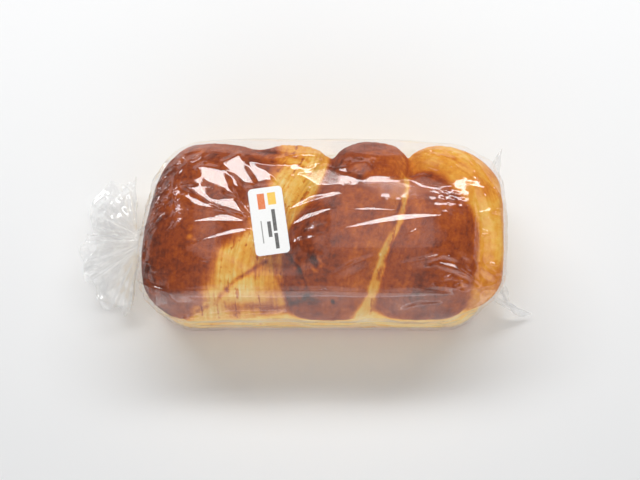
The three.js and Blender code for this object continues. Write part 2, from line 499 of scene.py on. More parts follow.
def smoothGrid(points, rounds, amount):
    for _ in range(rounds):
        sides = (np.roll(points, 1, 1) + np.roll(points, -1, 1)) / 2
        ends = points.copy()
        ends[1:-1] = (points[2:] + points[:-2]) / 2
        points = points + amount * ((sides + ends) / 2 - points)
    return points


def gridNormals(points):
    around = np.roll(points, -1, 1) - np.roll(points, 1, 1)
    normals = np.cross(around, np.gradient(points, axis=0))
    return normals / np.maximum(np.linalg.norm(normals, axis=-1), 1e-9)[..., None]


origin, direction = capsuleRays(loaf["rings"], loaf["around"])
reach = castRays(origin, direction, loafField)
points = smoothGrid(origin + direction * reach[..., None], 2, 0.3)
flatPoints = points.reshape(-1, 3)
_, table, places = loafField(flatPoints, full=True)
print("loaf surface cast", len(flatPoints))

# the crust seen from above: y from the front to the back, and the x, or the width, there
plan = {
    "goldStart": (
        [-75, -66, -61, -55, -41, -31, -20, -13, -4, 8, 20, 32, 45, 60, 72],
        [-112, -101, -93, -85, -79, -76, -70, -60, -51, -45, -40, -34, -30, -33, -36],
    ),
    "lip": (
        [-71, -61, -50, -43, -35, -29, -12, 2, 12, 18, 31, 38, 52],
        [-19, -22, -24, -27, -31, -32, -26, -17, -10, -8, -4, -2, 6],
    ),
    "seam": ([-70, -57, -45, -36, -24, -13, 2, 14, 28, 40], [34, 34, 38, 41, 45, 50, 57, 61, 63, 64]),
    "seamWidth": ([-72, -66, -58, -50, -36, -24, 0, 30], [17, 12, 6.5, 3.6, 2.8, 3.0, 2.2, 1.4]),
}

crust = {
    # 0 is pale crumb, 1 the darkest crust; across a strand from left to right
    "middle": ([-1.2, -0.8, -0.3, 0.35, 0.62, 0.85, 1.2], [0.8, 0.84, 0.8, 0.76, 0.69, 0.56, 0.44]),
    # the darkest stop, near the tongue's right edge, is painted shadow where the tongue lies over the right
    # end
    "rightTongue": (
        [-1.2, -0.8, -0.3, 0.2, 0.6, 0.84, 0.96, 1.2],
        [0.64, 0.73, 0.8, 0.78, 0.71, 0.78, 0.94, 0.72],
    ),
    "rightEnd": ([-1.2, -0.5, 0.1, 0.5, 0.9, 1.3], [0.33, 0.34, 0.39, 0.46, 0.56, 0.62]),
    "rightFront": (0.14, 22, 48),  # so much darker at the front of the right end, between these distances
    "leftEnd": 0.78,
    "leftRim": (0.12, 98, 124),  # darker at the far left
    "gold": 0.26,
    "goldEdge": (-8, 9),  # mm either side of the line where the gold starts
    "goldBehind": (0.12, 40, 56),  # darker at the back
    "lipShadow": 0.14,  # and darker beside the middle strand's lip: painted shadow of its overhang
    "lipFade": (-24, -6),
    "band": 0.26,  # a darker band along the front of the gold
    "bandAt": 58.5,
    "bandWide": 3.4,
    "seam": 0.27,
    "seamBack": 36,
    "seamLowest": 55,
    "side": 0.2,
    "sideFoot": 0.12,
    "under": 0.55,
    "cloud": 0.05,
    "sideCloud": 0.07,
    "topEdge": (-9, 4),  # the heights from the rim between which the side browns
}

# where one turn of the dough lies over another: how deep, how wide, how much darker, and the line of it
# seen from above;
# the darkening is cinnamon in the fold and in part painted shade
creases = [
    (
        0.8, 1.3, 0.34,
        [(-38, -27), (-42, -29), (-49, -34), (-60, -40), (-69, -48), (-75, -56), (-87, -61), (-100, -66)],
    ),
    (1.3, 1.7, 0.2, [(-32, -22), (-32, -29), (-31, -35), (-27, -43), (-24, -50), (-22, -59)]),
    (
        1.1, 1.3, 0.18,
        [(-23, -22), (-21, -27), (-16, -32), (-13, -39), (-10, -46), (-10, -51), (-14, -54), (-23, -55)],
    ),
    (0.5, 1.0, 0.42, [(62, 28), (59, 16), (55, 6), (51, -8), (48, -22), (43, -34), (42, -38)]),
    (0.5, 1.6, 0.1, [(-45, -29), (-46, -38), (-45, -50)]),
    (0.6, 1.8, 0.26, [(-46, 61), (-32, 58), (-20, 54), (-9, 50)]),
    (0.4, 1.4, 0.16, [(-36, 50), (-22, 46), (-8, 44)]),
    (0.4, 2.0, 0.1, [(84, 55), (98, 50), (110, 40), (119, 24)]),
]
# single marks: where, radius, and how much darker
spots = [
    (9, -55, 1.4, 0.5),
    (-93, -11, 2.2, -0.3),
    (-89, -13, 1.2, -0.25),
    (43, -22, 1.2, -0.2),
    (-66, -47, 1.6, 0.4),
]

# a little tear in the middle strand: its depth and raised rim in mm, then the painted shade in its hollow
# and the painted highlight on the lit side of its rim
tear = {
    "at": (-5.0, -28.0),
    "size": (3.6, 6.2),
    "turn": 35.0,
    "depth": 1.5,
    "rim": 0.5,
    "dark": 0.14,
    "light": 0.3,
}


def planAt(name, y):
    return np.interp(y, *plan[name])


def awayFrom(path, x, y):
    # distance in mm from a line seen from above
    nearest = np.full(x.shape, 1e9)
    for (x1, y1), (x2, y2) in zip(path, path[1:]):
        length = math.hypot(x2 - x1, y2 - y1)
        s = np.clip(((x - x1) * (x2 - x1) + (y - y1) * (y2 - y1)) / length**2, 0, 1)
        nearest = np.minimum(nearest, np.hypot(x - x1 - s * (x2 - x1), y - y1 - s * (y2 - y1)))
    return nearest


def tearReach(x, y):
    # 1 at the tear's edge, smaller inside
    u, v = turned(x - tear["at"][0], y - tear["at"][1], tear["turn"])
    return np.hypot(u / tear["size"][0], v / tear["size"][1]) + 0.3 * valueNoise(flatPoints, 4, 8)


def strandPlace(number):
    # mm across or along the strand that each point belongs to
    owner = table.argmin(0)
    owner = np.where(owner == strandNames.index("leftEnd"), strandNames.index("stretched"), owner)
    return np.choose(owner, [places[name][number] for name in strandNames])


def creasedAndShaded(x, y):
    # how much deeper the creases make each point, and how much darker: cinnamon in the fold and in part
    # painted shade
    deeper, darker = 0.0, 0.0
    for deep, wide, dark, path in creases:
        inside = bell(awayFrom(path, x, y) / wide)
        deeper, darker = deeper + deep * inside, darker + dark * inside
    return deeper, darker


def darkened(name, place):
    # how much darker the crust is there, growing between two distances
    darker, start, end = crust[name]
    return darker * smoothStep(place, start, end)


def goldTone(x, y, wander):
    # painted shadow: the gold darkens towards the middle strand's overhanging lip
    lipShade = smoothStep(x - planAt("lip", y), *crust["lipFade"]) * smoothStep(-y, 0, 26)
    fromBand = (y + crust["bandAt"] + 0.5 * wander) / crust["bandWide"]
    band = bell(fromBand) * smoothStep(x, -74, -62)
    golden = crust["gold"] + crust["lipShadow"] * lipShade + crust["band"] * band
    return golden + darkened("goldBehind", y)


def tearShadeAndHighlight(x, y):
    # painted shade in the tear's hollow and a painted highlight on the side of its rim that faces the light
    t = tearReach(x, y)
    towardsLight = (x - tear["at"][0]) * 0.8 - (y - tear["at"][1]) * 0.6
    lit = smoothStep(towardsLight, -1, 3) * smoothStep(valueNoise(flatPoints, 2.6, 7), -0.3, 0.3)
    rim = bell((t - 1.25) / 0.25) * lit
    return tear["dark"] * (1 - smoothStep(t, 0.4, 1.0)) - tear["light"] * rim


def crustTone():
    x, y, z = flatPoints.T
    share = np.exp(-(table - table.min(0)) / 0.9)
    share /= share.sum(0)
    share = dict(zip(strandNames, share))
    leftTwo = share["leftEnd"] + share["stretched"]
    wander = 4 * valueNoise(flatPoints, 16, 3) + 2.5 * valueNoise(flatPoints, 5, 4)
    gold = smoothStep(x + wander - planAt("goldStart", y), *crust["goldEdge"])
    brown = crust["leftEnd"] + darkened("leftRim", -x)
    tone = leftTwo * lerp(brown, goldTone(x, y, wander), gold)
    for name in ("middle", "rightTongue", "rightEnd"):
        tone = tone + share[name] * np.interp(places[name][0], *crust[name])
    tone = tone + share["rightEnd"] * darkened("rightFront", -y)
    fromSeam = np.abs(x + 0.3 * wander - planAt("seam", y)) / planAt("seamWidth", y)
    inSeam = (1 - smoothStep(fromSeam, 0.55, 1.25)) * (y < crust["seamBack"]) * (z > crust["seamLowest"])
    tone = lerp(tone, crust["seam"], inSeam)
    cloud = valueNoise(flatPoints, 24, 1) * 0.6 + valueNoise(flatPoints, 9, 2) * 0.6
    tone = tone + crust["cloud"] * cloud * (1 + gold)
    # the creases darken the crust: cinnamon in the fold and in part painted shade
    tone = tone + creasedAndShaded(x, y)[1] * (0.65 + 0.5 * valueNoise(flatPoints, 3.5, 6))
    for spotX, spotY, radius, darker in spots:
        tone = tone + darker * np.exp(-((np.hypot(x - spotX, y - spotY) / radius) ** 3))
    # painted shade and highlight of the tear
    tone = tone + tearShadeAndHighlight(x, y)
    ragged = 2 * valueNoise(flatPoints, 12, 5)
    onTop = smoothStep(z + ragged - loaf["rim"], *crust["topEdge"])
    side = crust["side"] + crust["sideCloud"] * cloud + crust["sideFoot"] * (1 - smoothStep(z, 4, 20))
    tone = lerp(side, tone, onTop)
    tone = lerp(tone, crust["under"] + crust["sideCloud"] * cloud, 1 - smoothStep(z, 0.5, 7))
    fibre = lerp(0.45, 1.0, gold * leftTwo) * lerp(0.3, 1, onTop)
    fibre = np.maximum(fibre, 0.5 * share["rightEnd"] * onTop)
    spice = np.clip(gold * leftTwo + inSeam + 0.12 * share["rightEnd"], 0, 1)
    return tone, fibre, np.maximum(spice, 0.35 * (1 - onTop)), onTop


tone, fibre, spice, onTop = crustTone()
acrossMm, alongMm = strandPlace(1), strandPlace(2)

# in mm: all of it is set back by the inset, then come ridges of fibre, soft skin, grain, pits
# and the seams of the sides
relief = {"inset": 0.8, "fibre": 0.55, "skin": 0.3, "grain": 0.12, "pit": 0.5, "sideSeam": 0.9}


def crustRelief():
    # how far each point of the crust stands out, in mm
    x, y, z = flatPoints.T
    streak = np.stack([acrossMm / 3.2, alongMm / 24, 0 * x], axis=1)
    ridges = 1 - 2 * np.abs(valueNoise(streak, 1, 11))
    finer = valueNoise(streak * (2.1, 1.5, 1), 1, 12)
    out = relief["fibre"] * fibre * (ridges + 0.6 * finer)
    out = out + relief["skin"] * valueNoise(flatPoints, 8, 13)
    out = out + relief["grain"] * valueNoise(flatPoints, 2.6, 14)
    out = out - relief["pit"] * smoothStep(valueNoise(flatPoints, 3.2, 15), 0.62, 0.95)
    nearest = np.sort(table, axis=0)
    between = bell((nearest[1] - nearest[0]) / 2.4)
    out = out - relief["sideSeam"] * between * (1 - onTop) * smoothStep(z, 3, 14)
    t = tearReach(x, y)
    raised, sunken = bell((t - 1.15) / 0.3), 1 - smoothStep(t, 0.3, 1.05)
    inTear = (z > 80) * (tear["rim"] * raised - tear["depth"] * sunken)
    out = out - creasedAndShaded(x, y)[0] * (z > 60)
    return (out + inTear - relief["inset"]) * smoothStep(z, 0, 4)


normals = gridNormals(points)
points = points + normals * crustRelief().reshape(points.shape[:2] + (1,))
loafPiece = gridMesh(
    "bread",
    points,
    True,
    {"bake": tone, "fibre": fibre, "spice": spice, "acrossMm": acrossMm, "alongMm": alongMm},
)
print("loaf mesh made")

crustColours = [
    (0.0, srgb(247, 233, 194)),
    (0.1, srgb(248, 225, 163)),
    (0.19, srgb(248, 211, 121)),
    (0.27, srgb(247, 191, 83)),
    (0.36, srgb(240, 164, 52)),
    (0.46, srgb(222, 132, 33)),
    (0.58, srgb(197, 100, 18)),
    (0.7, srgb(173, 78, 12)),
    (0.8, srgb(150, 62, 10)),
    (0.9, srgb(118, 45, 8)),
    (1.0, srgb(74, 27, 8)),
]

# how much each changes the tone of the crust, and how high it stands
crustMarks = {
    "cloud": (0.2, 0.0),
    "blotch": (0.42, 0.0),
    "mottle": (0.42, 0.9),
    "grain": (0.2, 0.4),
    "streak": (0.42, 1.5),
    "spice": (0.24, -0.3),
    "freckles": (0.12, 0.0),
    "blisters": (-0.2, 0.25),
}
crustGloss = {"roughness": 0.55, "uneven": 0.3, "specular": 0.07, "bump": 0.8, "height": 0.0012}


def crustFinish():
    f = newMaterial("bread_crust")
    place = f.value("TexCoord", output="Object")
    bake, fibrous, spiced = f.attribute("bake"), f.attribute("fibre"), f.attribute("spice")
    across, along = f.attribute("acrossMm"), f.attribute("alongMm")
    cloud = f.noise(place, 42.0, 2.0)
    blotch = f.noise(place, 110.0, 3.0)
    mottle = f.noise(place, 330.0, 4.0, 0.65)
    grain = f.noise(place, 1400.0, 2.0)
    streak = f.noise(f.vector(across, along * 0.09), 0.42, 4.0, 0.6) * fibrous
    drifting = f.vector(across + mottle * 4, along * 0.22 + blotch * 5)
    blistered = cloud.ramp(0.02, 0.12) * bake.ramp(0.6, 0.7)  # on the brown crust alone, here and there
    marks = {
        "cloud": cloud,
        "blotch": blotch,
        "mottle": mottle,
        "grain": grain,
        "streak": streak,
        "spice": f.noise(drifting, 0.3, 1.0).ramp(0.13, 0.2) * spiced,
        "freckles": f.noise(place, 420.0, 1.0).ramp(0.17, 0.24) * spiced,
        "blisters": f.noise(place, 480.0, 2.0).ramp(0.14, 0.24) * blistered,
    }
    baked = bake.ramp(0.25, 0.7) * 0.6 + 0.4
    tone, height = bake, 0.0
    for name, mark in marks.items():
        darker, higher = crustMarks[name]
        # pale dough is less mottled than brown crust
        share = baked if name in ("blotch", "mottle", "grain") else 1.0
        tone = tone + mark * darker * share
        if higher:
            height = mark * higher + height
    colour = f.value("ValToRGB", {"stops": crustColours}, "Color", Fac=tone.clamped())
    rough = crustGloss["roughness"] + mottle * crustGloss["uneven"]
    bump = f.value(
        "Bump", None, "Normal",
        Strength=crustGloss["bump"], Distance=crustGloss["height"], Height=height,
    )
    skin = f.value(
        "BsdfPrincipled", None, "BSDF",
        Base_Color=colour, Roughness=rough, Normal=bump, Specular_IOR_Level=crustGloss["specular"],
    )
    return f.finish(skin)


loafPiece.data.materials.append(crustFinish())
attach(loafPiece, "root")
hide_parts("bag")
print("crust finished")

film = {
    "rings": 4 * 71 + 1,
    "around": 4 * 71,
    "clear": 0.7,  # from the loaf while it is shaped, in mm
    "leastClear": 0.45,  # and once it is folded
    "offTable": 0.2,
    "neck": (-138.0, 1.0, 31.0),
    "neckRadius": 10.0,
    "neckFrom": 0.075,  # the share of the cast rings that the neck and the weld take the place of
    "weldFrom": 0.125,
    "slackAround": 0.006,
    "slackAlong": 0.004,
    "bend": 0.06,
    # the flats that it is drawn to, in degrees from +Y over the top and round, and towards either end
    "flatTurns": [
        0, 7, 14, 22, 30, 38, 46, 54, 61, 66, 71, 84, 90, 97, 109, 143, 168, 180,
        *range(190, 360, 10),
    ],
    "flatTilts": [0, 5, 11, 18, 27, 38, 50, 62, 76],
    "unsure": 2.0,  # degrees either way
    "loose": 0.8,
}
label = {
    "x": -36.5,
    "y": 1.2,
    "under": 102.15,  # the height of the film under it
    "width": 24.5,
    "length": 49.5,
    "turn": 8.0,
    "falls": (0.2, 0.05, 0.14),  # how steeply the film falls to it: beside it, in front and behind
    "creases": 13,
    "crease": 0.12,
    "lowest": 60.0,  # the film below this height isn't drawn to it
}
# the welded end of the bag, from its front corner to its back corner
weld = [
    (164, -49, 5), (150, -50, 10), (142, -30, 22), (138, 0, 30),
    (137, 30, 36), (137, 52, 42), (138, 71, 46),
]


class Distance:
    # the loaf's signed distance kept on a grid, for quick reading
    def __init__(self, spacing=2.5):
        self.low = np.array([-150.0, -86.0, -9.0])
        self.spacing = spacing
        counts = np.ceil((np.array([150.0, 86.0, 123.0]) - self.low) / spacing).astype(int) + 1
        axes = [self.low[k] + spacing * np.arange(counts[k]) for k in range(3)]
        grid = np.stack(np.meshgrid(*axes, indexing="ij"), axis=-1)
        self.values = loafField(grid.reshape(-1, 3)).reshape(counts).astype(np.float32)
        self.slopes = np.stack(np.gradient(self.values, spacing), axis=-1).astype(np.float32)
        self.counts = counts

    def read(self, p):
        q = (p - self.low) / self.spacing
        q = np.clip(q, 0.001, self.counts - 1.001)
        cell = q.astype(np.int64)
        f = q - cell
        value, slope = 0.0, 0.0
        for c, weight in cellCorners(cell, f):
            index = tuple(c[..., k] for k in range(3))
            value = value + self.values[index] * weight
            slope = slope + self.slopes[index] * weight[..., None]
        return value, slope / np.maximum(np.linalg.norm(slope, axis=-1), 1e-6)[..., None]


distance = Distance()
print("distance grid made")


def drawnReach(origin, direction):
    # how far each ray runs to the flats of a film drawn straight over the loaf's valleys
    draw = np.random.default_rng(41)
    tilts = film["flatTilts"]
    tilts = np.array([-t for t in tilts[:0:-1]] + tilts, float)
    turn, tilt = np.meshgrid(film["flatTurns"], tilts)
    unsure = np.where(tilt == 0, 0.0, film["unsure"])
    turn = np.radians(turn + draw.uniform(-1, 1, turn.shape) * unsure).ravel()
    tilt = np.radians(tilt + draw.uniform(-1, 1, tilt.shape) * unsure).ravel()
    facing = np.stack([np.sin(tilt), np.cos(tilt) * np.cos(turn), np.cos(tilt) * np.sin(turn)])
    height = (flatPoints[::3] @ facing).max(0) + film["clear"] + draw.uniform(0, film["loose"], turn.size)
    o, d = origin.reshape(-1, 3), direction.reshape(-1, 3)
    reach = np.full(len(o), 1e9)
    batch = 60
    for i in range(0, turn.size, batch):
        n = facing[:, i : i + batch]
        towards = np.maximum(d @ n, 0.03)
        reach = np.minimum(reach, ((height[i : i + batch] - o @ n) / towards).min(1))
    return reach.reshape(origin.shape[:-1])


def filmStart():
    # rings of the bag from its neck to its flat weld, drawn over the loaf
    around = film["around"]
    phi = roundAngles(around)
    o, d = capsuleRays(film["rings"], around)
    drawn = o + d * drawnReach(o, d)[..., None]
    rings = drawn[round(film["rings"] * film["neckFrom"]) : -round(film["rings"] * film["weldFrom"])]
    neckX, neckY, neckZ = film["neck"]
    r = film["neckRadius"]
    neck = np.stack([np.full(around, neckX), neckY + r * np.cos(phi), neckZ + r * np.sin(phi)], axis=-1)
    line = catmullRom(weld, 201)
    t = 0.5 * (1 + np.cos(phi))
    flat = np.stack([np.interp(t, np.linspace(0, 1, len(line)), line[:, k]) for k in range(3)], axis=-1)
    flat[:, 2] += 0.35 * np.sin(phi)
    middle = rings[-1] * 0.45 + flat * 0.55
    middle[:, 2] += 2.5 * np.sin(phi)
    keys = np.concatenate([neck[None], neck[None] * 0.5 + rings[:1] * 0.5, rings, middle[None], flat[None]])
    # even steps along the bag
    length = np.concatenate([[0], np.cumsum(np.linalg.norm(np.diff(keys, axis=0), axis=-1).mean(1))])
    steps = np.linspace(0, length[-1], film["rings"])
    i = np.clip(np.searchsorted(length, steps, side="right") - 1, 0, len(keys) - 2)
    f = ((steps - length[i]) / (length[i + 1] - length[i]))[:, None, None]
    return keys[i] * (1 - f) + keys[i + 1] * f


def pushOut(p, clear):
    value, slope = distance.read(p)
    depth = np.maximum(clear - value, 0)
    p = p + slope * depth[..., None]
    p[..., 2] = np.maximum(p[..., 2], 0.25)
    return p


def labelPlace(p):
    return turned(p[..., 0] - label["x"], p[..., 1] - label["y"], label["turn"])


def holdLabel(p):
    u, v = labelPlace(p)
    inside = (np.abs(u) < label["width"] / 2 + 1) & (np.abs(v) < label["length"] / 2 + 1)
    p[..., 2] = np.where(inside & (p[..., 2] > label["lowest"]), label["under"], p[..., 2])
    return p


def drawToLabel(p):
    # the label holds the film down in the hollow between two strands, so it falls towards it on all sides
    u, v = labelPlace(p)
    beside, front, behind = label["falls"]
    offU = np.maximum(np.abs(u) - label["width"] / 2 - 1, 0)
    offV = np.maximum(np.abs(v) - label["length"] / 2 - 1, 0)
    wave = np.arctan2(v, u * 2) * label["creases"] / (2 * math.pi)
    ridged = 1 - 4 * np.abs(wave - np.floor(wave) - 0.5)
    fall = np.hypot(beside * offU, np.where(v < 0, front, behind) * offV)
    limit = label["under"] + fall * (1 + label["crease"] * ridged) + (offU**2 + offV**2) * 0.002
    p[..., 2] = np.where(p[..., 2] > label["lowest"], np.minimum(p[..., 2], limit), p[..., 2])
    return p


def tighten(p, rounds):
    # evened out and drawn to the label, most towards the two ends
    for _ in range(rounds):
        q = p.copy()
        even = 0.25 * (p[2:] + p[:-2] + np.roll(p, 1, 1)[1:-1] + np.roll(p, -1, 1)[1:-1])
        q[1:-1] = lerp(p[1:-1], even, 0.25 + 0.75 * smoothStep(np.abs(p[1:-1, :, :1] + 2), 112, 126))
        q = pushOut(drawToLabel(q), film["clear"])
        q[0], q[-1] = p[0], p[-1]
        p = holdLabel(q)
    return p


class Links:
    # every pair of points that are some steps apart on the film's grid, in groups that don't meet
    def __init__(self, tight, slack, du, dv, stiff):
        rings, around = tight.shape[:2]
        i, j = np.meshgrid(np.arange(rings - du), np.arange(around), indexing="ij")
        a = (i * around + j).ravel()
        b = ((i + du) * around + (j + dv) % around).ravel()
        group = ((i // du) % 2 if du else (j // dv) % 2).ravel()
        flat = tight.reshape(-1, 3)
        factor = 1 + slack.reshape(-1)
        self.groups = []
        for g in (0, 1):
            one, two = a[group == g], b[group == g]
            self.groups.append((one, two, np.linalg.norm(flat[one] - flat[two], axis=1) * factor[one]))
        self.stiff = stiff

    def solve(self, flat, free):
        for a, b, rest in self.groups:
            v = flat[b] - flat[a]
            size = np.sqrt((v * v).sum(1)) + 1e-9
            share = (self.stiff * (size - rest) / size / np.maximum(free[a] + free[b], 0.5))[:, None]
            flat[a] += v * share * free[a][:, None]
            flat[b] -= v * share * free[b][:, None]


def looseShare(p, heights, lengths):
    # 1 on the flanks and ends, 0 on top, where the film stays drawn tight
    return 1 - smoothStep(p[..., 2], *heights) * (1 - smoothStep(np.abs(p[..., 0] - 2), *lengths))


def crumple(p, tight, rounds, slackU, slackV, bend, press):
    # the sheet is longer than the tight film by its slack, so it buckles into folds
    around = p.shape[1]
    both = (slackU + slackV) / 2
    links = [
        Links(tight, slackU, 1, 0, 0.95),
        Links(tight, slackV, 0, 1, 0.95),
        Links(tight, both, 1, 1, 0.5),
        Links(tight, both, 1, around - 1, 0.5),
        Links(tight, slackU * 0.9, 3, 0, bend),
        Links(tight, slackV * 0.8, 0, 2, bend),
    ]
    free = looseShare(tight, (58, 76), (104, 118))
    free[:1] = 0
    free[-1:] = 0
    free = free.reshape(-1)
    for _ in range(rounds):
        flat = p.reshape(-1, 3).copy()
        _, slope = distance.read(flat)
        flat -= slope * (free * press)[:, None]
        for link in links:
            link.solve(flat, free)
        p = holdLabel(pushOut(flat.reshape(p.shape), film["clear"]))
    return p


def doubled(p):
    # twice as many points each way, flat facets kept flat
    q = np.empty((p.shape[0] * 2 - 1, p.shape[1] * 2, 3))
    q[::2, ::2] = p
    q[::2, 1::2] = (p + np.roll(p, -1, 1)) / 2
    q[1::2] = (q[:-2:2] + q[2::2]) / 2
    return q


start = filmStart()
tight = tighten(start, 12)
print("film tightened")


def slacks(p):
    # more film than the loaf needs: most round the gathered neck and at the weld's corners
    x = p[..., 0]
    towardsNeck = smoothStep(-x, 112, 136)
    towardsWeld = smoothStep(x, 118, 150)
    patch = 0.5 + 0.5 * valueNoise(p, 45, 31)
    below = 1 - smoothStep(p[..., 2], 55, 80)
    slackV = film["slackAround"] * (0.5 + patch + 2.5 * below) + 0.12 * towardsNeck + 0.04 * towardsWeld
    slackU = film["slackAlong"] * (0.5 + patch + 2 * below) + 0.02 * towardsNeck + 0.03 * towardsWeld
    return slackU, slackV


# every how many points, rounds, how hard it is pressed on, share of the slack,
# and the crinkles that it starts from: height, size, stretch
levels = [
    {"step": 4, "rounds": 90, "press": 0.06, "share": 0.8, "seeds": [(1.6, 11, 0.25), (0.8, 12, 1.0)]},
    {"step": 2, "rounds": 60, "press": 0.03, "share": 1.1, "seeds": [(0.8, 7, 0.3), (0.4, 8, 1.0)]},
    {"step": 1, "rounds": 25, "press": 0.01, "share": 1.35, "seeds": [(0.25, 4, 0.4)]},
]


def crumpleFilm():
    sheet = tight[::4, ::4]
    for number, level in enumerate(levels):
        here = tight[:: level["step"], :: level["step"]]
        if number:
            sheet = doubled(sheet)
        _, slope = distance.read(sheet)
        rise = 0.0
        for height, size, stretch in level["seeds"]:
            rise = rise + height * (1 + crinkle(sheet * (stretch, 1, 1), size, 21 + 7 * number)) / 2
        rise *= looseShare(here, (50, 74), (100, 116))
        rise[0], rise[-1] = 0, 0
        sheet = pushOut(sheet + slope * rise[..., None], film["clear"])
        slackU, slackV = (slack * level["share"] for slack in slacks(here))
        sheet = crumple(sheet, here, level["rounds"], slackU, slackV, film["bend"], level["press"])
        print("film crumpled", number)
    return sheet


# long folds where the film is drawn to the label and over the crown, seen from above:
# from x, y to x, y, where it is widest, then how wide its faces to the back and to the front are
folds = [
    (-93, -1, -50, 1, 0.6, 4.5, 6),
    (-99, -19, -50, -6, 0.85, 3.8, 6),
    (-118, 36, -92, 40, 0.5, 3.4, 4),
    (-128, 0, -96, 10, 0.6, 3, 5),
    (-112, 46, -84, 57, 0.5, 3, 3),
    (-24, 9, 18, 20, 0.45, 5, 5),
    (-23, -3, 14, 10, 0.4, 3.6, 6),
    (-23, -16, 4, -10, 0.3, 3.4, 6),
    (-10, 24, 30, 27, 0.4, 4.5, 4),
    (-28, 34, 12, 30, 0.6, 5, 4),
    (-34, 46, 10, 50, 0.5, 5, 3),
    (24, 28, 46, 37, 0.5, 5, 4),
    (12, -7, 90, 4, 0.55, 5.4, 9),
    (16, 7.5, 65, 6.5, 0.4, 2.2, 5),
    (57, -14, 76, -3, 0.5, 3, 5),
    (8, -38, 38, -24, 0.5, 2.6, 6),
    (-108, -47.5, -30, -48, 0.6, 2.4, 7),
    (-38, -48, 42, -49.5, 0.5, 2.6, 7),
    (36, -49.5, 104, -50, 0.4, 2.4, 7),
    (57, -60, 92, -55, 0.4, 2.6, 4),
    (-104, -66, -22, -61, 0.5, 2.2, 4),
    (99, -18, 130, -40, 0.5, 3, 5),
    (110, 6, 131, 12, 0.5, 2.6, 4),
    (98, 63, 131, 18, 0.4, 3, 3),
    (66, 34, 104, 22, 0.5, 2.4, 4),
    (64, 46, 94, 57, 0.5, 5, 3),
    (56, -30, 100, -24, 0.6, 3, 6),
    (84, -44, 106, -48, 0.5, 2.4, 4),
]
# the slope of the face to the back, its limits, and how high it may stand;
# the strip behind it eases it off
fold = {"slope": 0.2, "slopes": (0.05, 0.45), "highest": 3.6, "lowest": 55.0, "behind": 2.5}

# flat faces drawn between folds: their corners seen from above
patches = [
    [(-69, 45), (-63, 37), (-50, 24), (-48, 26), (-58, 52)],
    [(-88, 40), (-82, 31), (-68, 21), (-61, 19), (-68, 34), (-75, 40), (-86, 42)],
    [(-52, 46), (-45, 28), (-32, 28), (-39, 39)],
    [(-96, 25), (-89, 20), (-77, 13), (-52, 4), (-60, 15), (-67, 20), (-81, 26)],
    [(-98, 19), (-89, 12), (-80, 9), (-73, 9), (-83, 14), (-94, 20)],
    [(-14, 34), (-2, 26), (14, 26), (15, 35), (4, 41)],
    [(20, 36), (30, 32), (38, 38), (34, 45), (24, 44)],
    [(82, -30), (103, -36), (96, -30), (87, -27)],
    [(62, 30), (84, 23), (92, 26), (74, 34)],
    [(72, 45), (84, 40), (92, 45), (82, 53)],
    [(98, 44), (108, 34), (112, 40), (104, 50)],
]
# their steepest slope along the loaf, their slopes to the back, the share of the film that they lie over
# in percent, and how far they may stand below or above it
patch = {"along": 0.33, "falls": (0.155, 0.24), "share": 66, "edge": 2.2, "lowest": -1.8, "highest": 6.0}

# small bright flakes: middle x, y and spread x, y, how many, length, width, turn in degrees and its spread
flakes = [
    (-116, 20, 14, 24, 44, 11, 2.2, 35, 28),
    (-104, 46, 18, 9, 24, 12, 2.0, 35, 22),
    (-124, -26, 6, 14, 5, 7, 1.6, 0, 30),
    (8, 34, 16, 9, 12, 13, 2.4, 14, 18),
    (30, 40, 10, 7, 14, 8, 2.2, 40, 50),
    (48, 15, 18, 3, 10, 5, 1.2, 80, 20),
    (-8, 46, 18, 7, 7, 16, 2.4, 4, 8),
    (104, 48, 14, 10, 12, 9, 2.0, -35, 25),
    (112, -34, 12, 10, 12, 10, 2.0, -30, 25),
    (122, 10, 6, 22, 8, 8, 1.8, 10, 40),
    (86, -44, 14, 6, 6, 10, 2.2, 10, 40),
    (-60, -20, 26, 20, 4, 8, 1.4, 10, 20),
    (40, -20, 50, 20, 6, 9, 1.3, 12, 20),
]
flake = {"slope": 0.2, "along": 0.3, "edge": 0.2, "highest": 2.2}


class TopHeight:
    # the height of the film's upper side on a grid of 1 mm, for quick reading
    def __init__(self, sheet):
        upper = sheet[:, : sheet.shape[1] // 2]
        x, y, z = upper[upper[..., 2] > 30].T
        self.low = np.array([-140.0, -76.0])
        wide, deep = 281, 153
        i, j = (x - self.low[0]).round().astype(int), (y - self.low[1]).round().astype(int)
        inside = (i >= 0) & (i < wide) & (j >= 0) & (j < deep)
        total, count = np.zeros((wide, deep)), np.zeros((wide, deep))
        np.add.at(total, (i[inside], j[inside]), z[inside])
        np.add.at(count, (i[inside], j[inside]), 1)
        for _ in range(12):  # spread into the empty cells
            around = sum(np.roll(total, k, a) for k in (-1, 1) for a in (0, 1))
            counts = sum(np.roll(count, k, a) for k in (-1, 1) for a in (0, 1))
            empty = count == 0
            total, count = np.where(empty, around, total), np.where(empty, counts, count)
        values = total / np.maximum(count, 1)
        for _ in range(5):  # and made smooth
            for a in (0, 1):
                values = 0.5 * values + 0.25 * (np.roll(values, 1, a) + np.roll(values, -1, a))
        self.values = values

    def read(self, x, y):
        q = [np.clip(v - low, 0, n - 1.001) for v, low, n in zip((x, y), self.low, self.values.shape)]
        i, j = (v.astype(int) for v in q)
        f, g = q[0] - i, q[1] - j
        v = self.values
        return lerp(lerp(v[i, j], v[i + 1, j], f), lerp(v[i, j + 1], v[i + 1, j + 1], f), g)


def upperSide(p):
    return (p[..., 2] > fold["lowest"]) & (np.arange(p.shape[1]) < p.shape[1] // 2 + 3)


